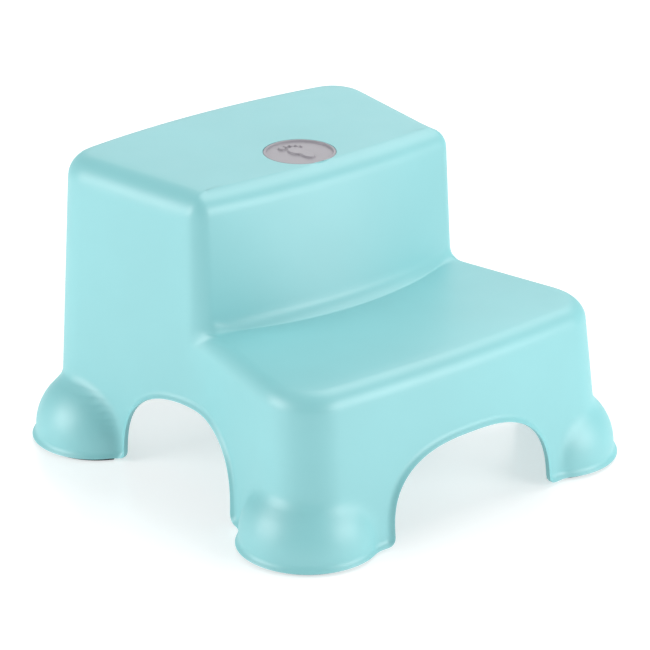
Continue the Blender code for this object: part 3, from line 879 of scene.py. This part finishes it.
class STOOL_OT_foot_pads(bpy.types.Operator):
    """Build the four curved rubber pads with their grip grooves and pegs"""
    bl_idname = "stool.foot_pads"
    bl_label = "Foot pads"

    def execute(self, context):
        sizes = context.scene.stool_sizes
        rubber = satin_plastic("dark_rubber", context.scene.stool_finishes.rubber, 0.72, 900.0, 0.00012, 0.15)
        edge = sizes.bell_radius - PAD_INSET
        for name in FEET:
            x, y = foot_place(name)
            outer = pad_angles(name, sizes, edge)
            inner = pad_angles(name, sizes, edge - PAD_WIDTH)
            bm = bmesh.new()
            rings = []
            for step in range(PAD_STEPS + 1):
                part = step / PAD_STEPS
                ring = []
                for across, z in PAD_SECTION:
                    first = outer[0] + (inner[0] - outer[0]) * across
                    last = outer[1] + (inner[1] - outer[1]) * across
                    angle = first + (last - first) * part
                    radius = edge - PAD_WIDTH * across
                    ring.append((x + radius * math.cos(angle), y + radius * math.sin(angle), z))
                rings.append(ring)
            add_loft(bm, rings, closed=False)
            for peg in peg_places(name, sizes):
                rings = [circle(peg, PEG_RADIUS, PEG_ROOT, PEG_SEGMENTS),
                         circle(peg, PEG_RADIUS, PEG_SHOULDER, PEG_SEGMENTS),
                         circle(peg, PEG_TIP_RADIUS, PEG_TIP, PEG_SEGMENTS)]
                add_loft(bm, rings, closed=False)
            pad = add_object(f"foot_pad_{name}_rubber", bm, rubber, 30.0)
            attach(pad, BODY)
            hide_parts(f"foot_pad_{name}")
        return {"FINISHED"}


def ellipse_level(x, y, cx, cy, rx, ry, lean=0.0):
    """About the distance outside an ellipse, in metres."""
    c, s = math.cos(lean), math.sin(lean)
    u = ((x - cx) * c + (y - cy) * s) / rx
    v = (-(x - cx) * s + (y - cy) * c) / ry
    return (np.hypot(u, v) - 1.0) * min(rx, ry)


# ellipses of the raised footprint: centre, half width, half length
SOLE = (
    (0.0, 0.0035, 0.0062, 0.0078),
    (0.0012, -0.0085, 0.0044, 0.0066),
    (0.0012, -0.0025, 0.0040, 0.0070),
)
BIG_TOE = (-0.0052, 0.0142, 0.0026, 0.0034)
BIG_TOE_LEAN = 0.2
# small toes: centre, half width
SMALL_TOES = (
    (-0.0004, 0.0158, 0.0019),
    (0.0037, 0.0150, 0.0017),
    (0.0069, 0.0126, 0.0015),
    (0.0090, 0.0096, 0.0013),
)
TOE_LENGTHENING = 1.25
BADGE_RELIEF = 0.0013
BADGE_THICKNESS = 0.0026
BADGE_RIM = 0.0024
BADGE_RIM_SLOPE = 0.0008
BADGE_CHAMFER = 0.0004
CHAMFER_FALL = 0.8
EMBLEM_SLOPE = 0.0007
STUD_SPREAD = 0.014
STUD_RADIUS = 0.0020
STUD_TIP_RADIUS = 0.0014
STUD_TIP_GAP = 0.0003
STUD_SHOULDER = 0.0036
STUD_OVERLAP = 0.0008


class STOOL_OT_badge(bpy.types.Operator):
    """Build the round badge plate with its rim and raised footprint"""
    bl_idname = "stool.badge"
    bl_label = "Badge plate"
    rings = 76
    segments = 176

    def execute(self, context):
        sizes = context.scene.stool_sizes
        radius = sizes.badge_radius
        centre = badge_centre()
        rim_top = CAD_BADGE[1][2]
        field = rim_top - BADGE_RELIEF
        bottom = rim_top - BADGE_THICKNESS
        turn = np.linspace(0.0, 2 * math.pi, self.segments, endpoint=False)
        grid = []
        for share in np.linspace(1.0, 0.0, self.rings + 1)[:-1]:
            x = radius * share * np.cos(turn)
            y = radius * share * np.sin(turn)
            z = self.height(x, y, radius, field)
            grid.append(np.column_stack([x + centre[0], y + centre[1], z]))
        plate = Shell(None)
        plate.add(np.array(grid), wrap=True)
        plate.fan(grid[-1])
        wall = grid[0].copy()
        wall[:, 2] = bottom
        plate.add(np.array([grid[0], wall]), wrap=True)
        plate.fan(wall)
        bm = plate.closed_mesh("plate")
        for side in (-1, 1):
            spot = (centre[0] + side * STUD_SPREAD, centre[1])
            rings = [circle(spot, STUD_TIP_RADIUS, CAD_BADGE[0][2] + STUD_TIP_GAP, ROUND_SEGMENTS),
                     circle(spot, STUD_RADIUS, bottom - STUD_SHOULDER, ROUND_SEGMENTS),
                     circle(spot, STUD_RADIUS, bottom + STUD_OVERLAP, ROUND_SEGMENTS)]
            add_loft(bm, rings, closed=False)
        grey = context.scene.stool_finishes.badge
        material = satin_plastic("grey_badge_plastic_finish", grey, 0.34, 1200.0, 0.00003)
        badge = add_object("badge_plate_detail", bm, material, 50.0)
        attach(badge, BODY)
        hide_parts("badge_plate")
        return {"FINISHED"}

    def height(self, x, y, radius, field):
        """Height of the badge's top: raised rim, recessed field and a raised footprint."""
        from_centre = np.hypot(x, y)
        rim = smoothstep((from_centre - (radius - BADGE_RIM)) / BADGE_RIM_SLOPE)
        chamfer = np.maximum(0.0, from_centre - (radius - BADGE_CHAMFER))
        foot = ellipse_level(x, y, *BIG_TOE, BIG_TOE_LEAN)
        for ellipse in SOLE:
            foot = np.minimum(foot, ellipse_level(x, y, *ellipse))
        for across, lengthwise, size in SMALL_TOES:
            foot = np.minimum(foot, ellipse_level(x, y, across, lengthwise, size, size * TOE_LENGTHENING))
        raised = smoothstep(-foot / EMBLEM_SLOPE)
        return field + BADGE_RELIEF * np.maximum(rim, raised) - chamfer * CHAMFER_FALL


# soft lights: name, place, width, depth, power; they all face the stool
SOFTBOXES = (
    ("left_softbox", (-2.2, 0.9, 0.9), 1.6, 1.4, 42.0),
    ("right_softbox", (1.1, -2.2, 0.9), 1.6, 1.4, 42.0),
    ("back_softbox", (1.9, 2.3, 1.3), 2.2, 1.6, 13.0),
    ("top_softbox", (1.15, 0.15, 2.0), 1.5, 1.8, 27.0),
)
LIGHT_TARGET = (0.0, 0.0, 0.1)
WHITE = (1.0, 1.0, 1.0, 1.0)
FLOOR_HALF_SIZE = 6.0
FLOOR_GLOW = 0.56
AIR_GLOW = 0.36
CAMERA_PLACE = (-1.2352, -1.4798, 0.9213)
CAMERA_TARGET = (0.0, 0.0014, 0.0931)
CAMERA_LENS = 158.8


class STOOL_OT_stage(bpy.types.Operator):
    """Build the pale floor, the soft studio lights and the camera"""
    bl_idname = "stool.stage"
    bl_label = "Studio stage"

    def execute(self, context):
        scene = context.scene
        bm = bmesh.new()
        bmesh.ops.create_grid(bm, x_segments=8, y_segments=8, size=FLOOR_HALF_SIZE)
        material = satin_plastic("studio_floor", scene.stool_finishes.floor, 0.30, 300.0, 0.0, 0.0)
        shader = material.node_tree.nodes["Principled BSDF"]
        shader.inputs["Emission Color"].default_value = WHITE
        shader.inputs["Emission Strength"].default_value = FLOOR_GLOW
        floor = add_object("studio_floor", bm, material)
        for softbox in SOFTBOXES:
            self.light(*softbox)
        world = bpy.data.worlds.new("studio_air")
        world.use_nodes = True
        background = world.node_tree.nodes["Background"]
        background.inputs["Color"].default_value = WHITE
        background.inputs["Strength"].default_value = AIR_GLOW
        scene.world = world
        scene.view_settings.view_transform = "Standard"
        camera = bpy.data.cameras.new("studio_camera")
        camera.sensor_width = 36.0
        camera.lens = CAMERA_LENS
        camera.clip_start = 0.05
        camera.clip_end = 60.0
        holder = bpy.data.objects.new("studio_camera", camera)
        holder.location = CAMERA_PLACE
        self.face(holder, CAMERA_TARGET)
        scene.collection.objects.link(holder)
        scene.camera = holder
        return {"FINISHED"}

    def light(self, name, place, width, depth, power):
        lamp = bpy.data.lights.new(name, "AREA")
        lamp.shape = "RECTANGLE"
        lamp.size = width
        lamp.size_y = depth
        lamp.energy = power
        holder = bpy.data.objects.new(name, lamp)
        holder.location = place
        self.face(holder, LIGHT_TARGET)
        bpy.context.scene.collection.objects.link(holder)

    def face(self, holder, target):
        """Turn a light or the camera to look at a point."""
        sight = Vector(target) - holder.location
        holder.rotation_euler = sight.to_track_quat("-Z", "Y").to_euler()


class STOOL_PT_panel(bpy.types.Panel):
    """Sizes, colours and build steps of the stool"""
    bl_idname = "STOOL_PT_panel"
    bl_label = "Two-Step Stool"
    bl_space_type = "VIEW_3D"
    bl_region_type = "UI"
    bl_category = "Step Stool"

    def draw(self, context):
        layout = self.layout
        for group in (context.scene.stool_sizes, context.scene.stool_finishes):
            column = layout.column(align=True)
            for name in group.bl_rna.properties.keys():
                if name not in ("rna_type", "name"):
                    column.prop(group, name)
        for operator in OPERATORS:
            layout.operator(operator.bl_idname)


OPERATORS = (STOOL_OT_body, STOOL_OT_foot_pads, STOOL_OT_badge, STOOL_OT_stage)
CLASSES = (StoolSizes, StoolFinishes) + OPERATORS + (STOOL_PT_panel,)


def register():
    for cls in CLASSES:
        bpy.utils.register_class(cls)
    bpy.types.Scene.stool_sizes = PointerProperty(type=StoolSizes)
    bpy.types.Scene.stool_finishes = PointerProperty(type=StoolFinishes)


def unregister():
    del bpy.types.Scene.stool_finishes
    del bpy.types.Scene.stool_sizes
    for cls in reversed(CLASSES):
        bpy.utils.unregister_class(cls)


def main():
    register()
    bpy.ops.stool.body()
    bpy.ops.stool.foot_pads()
    bpy.ops.stool.badge()
    bpy.ops.stool.stage()


if __name__ == "__main__":
    main()
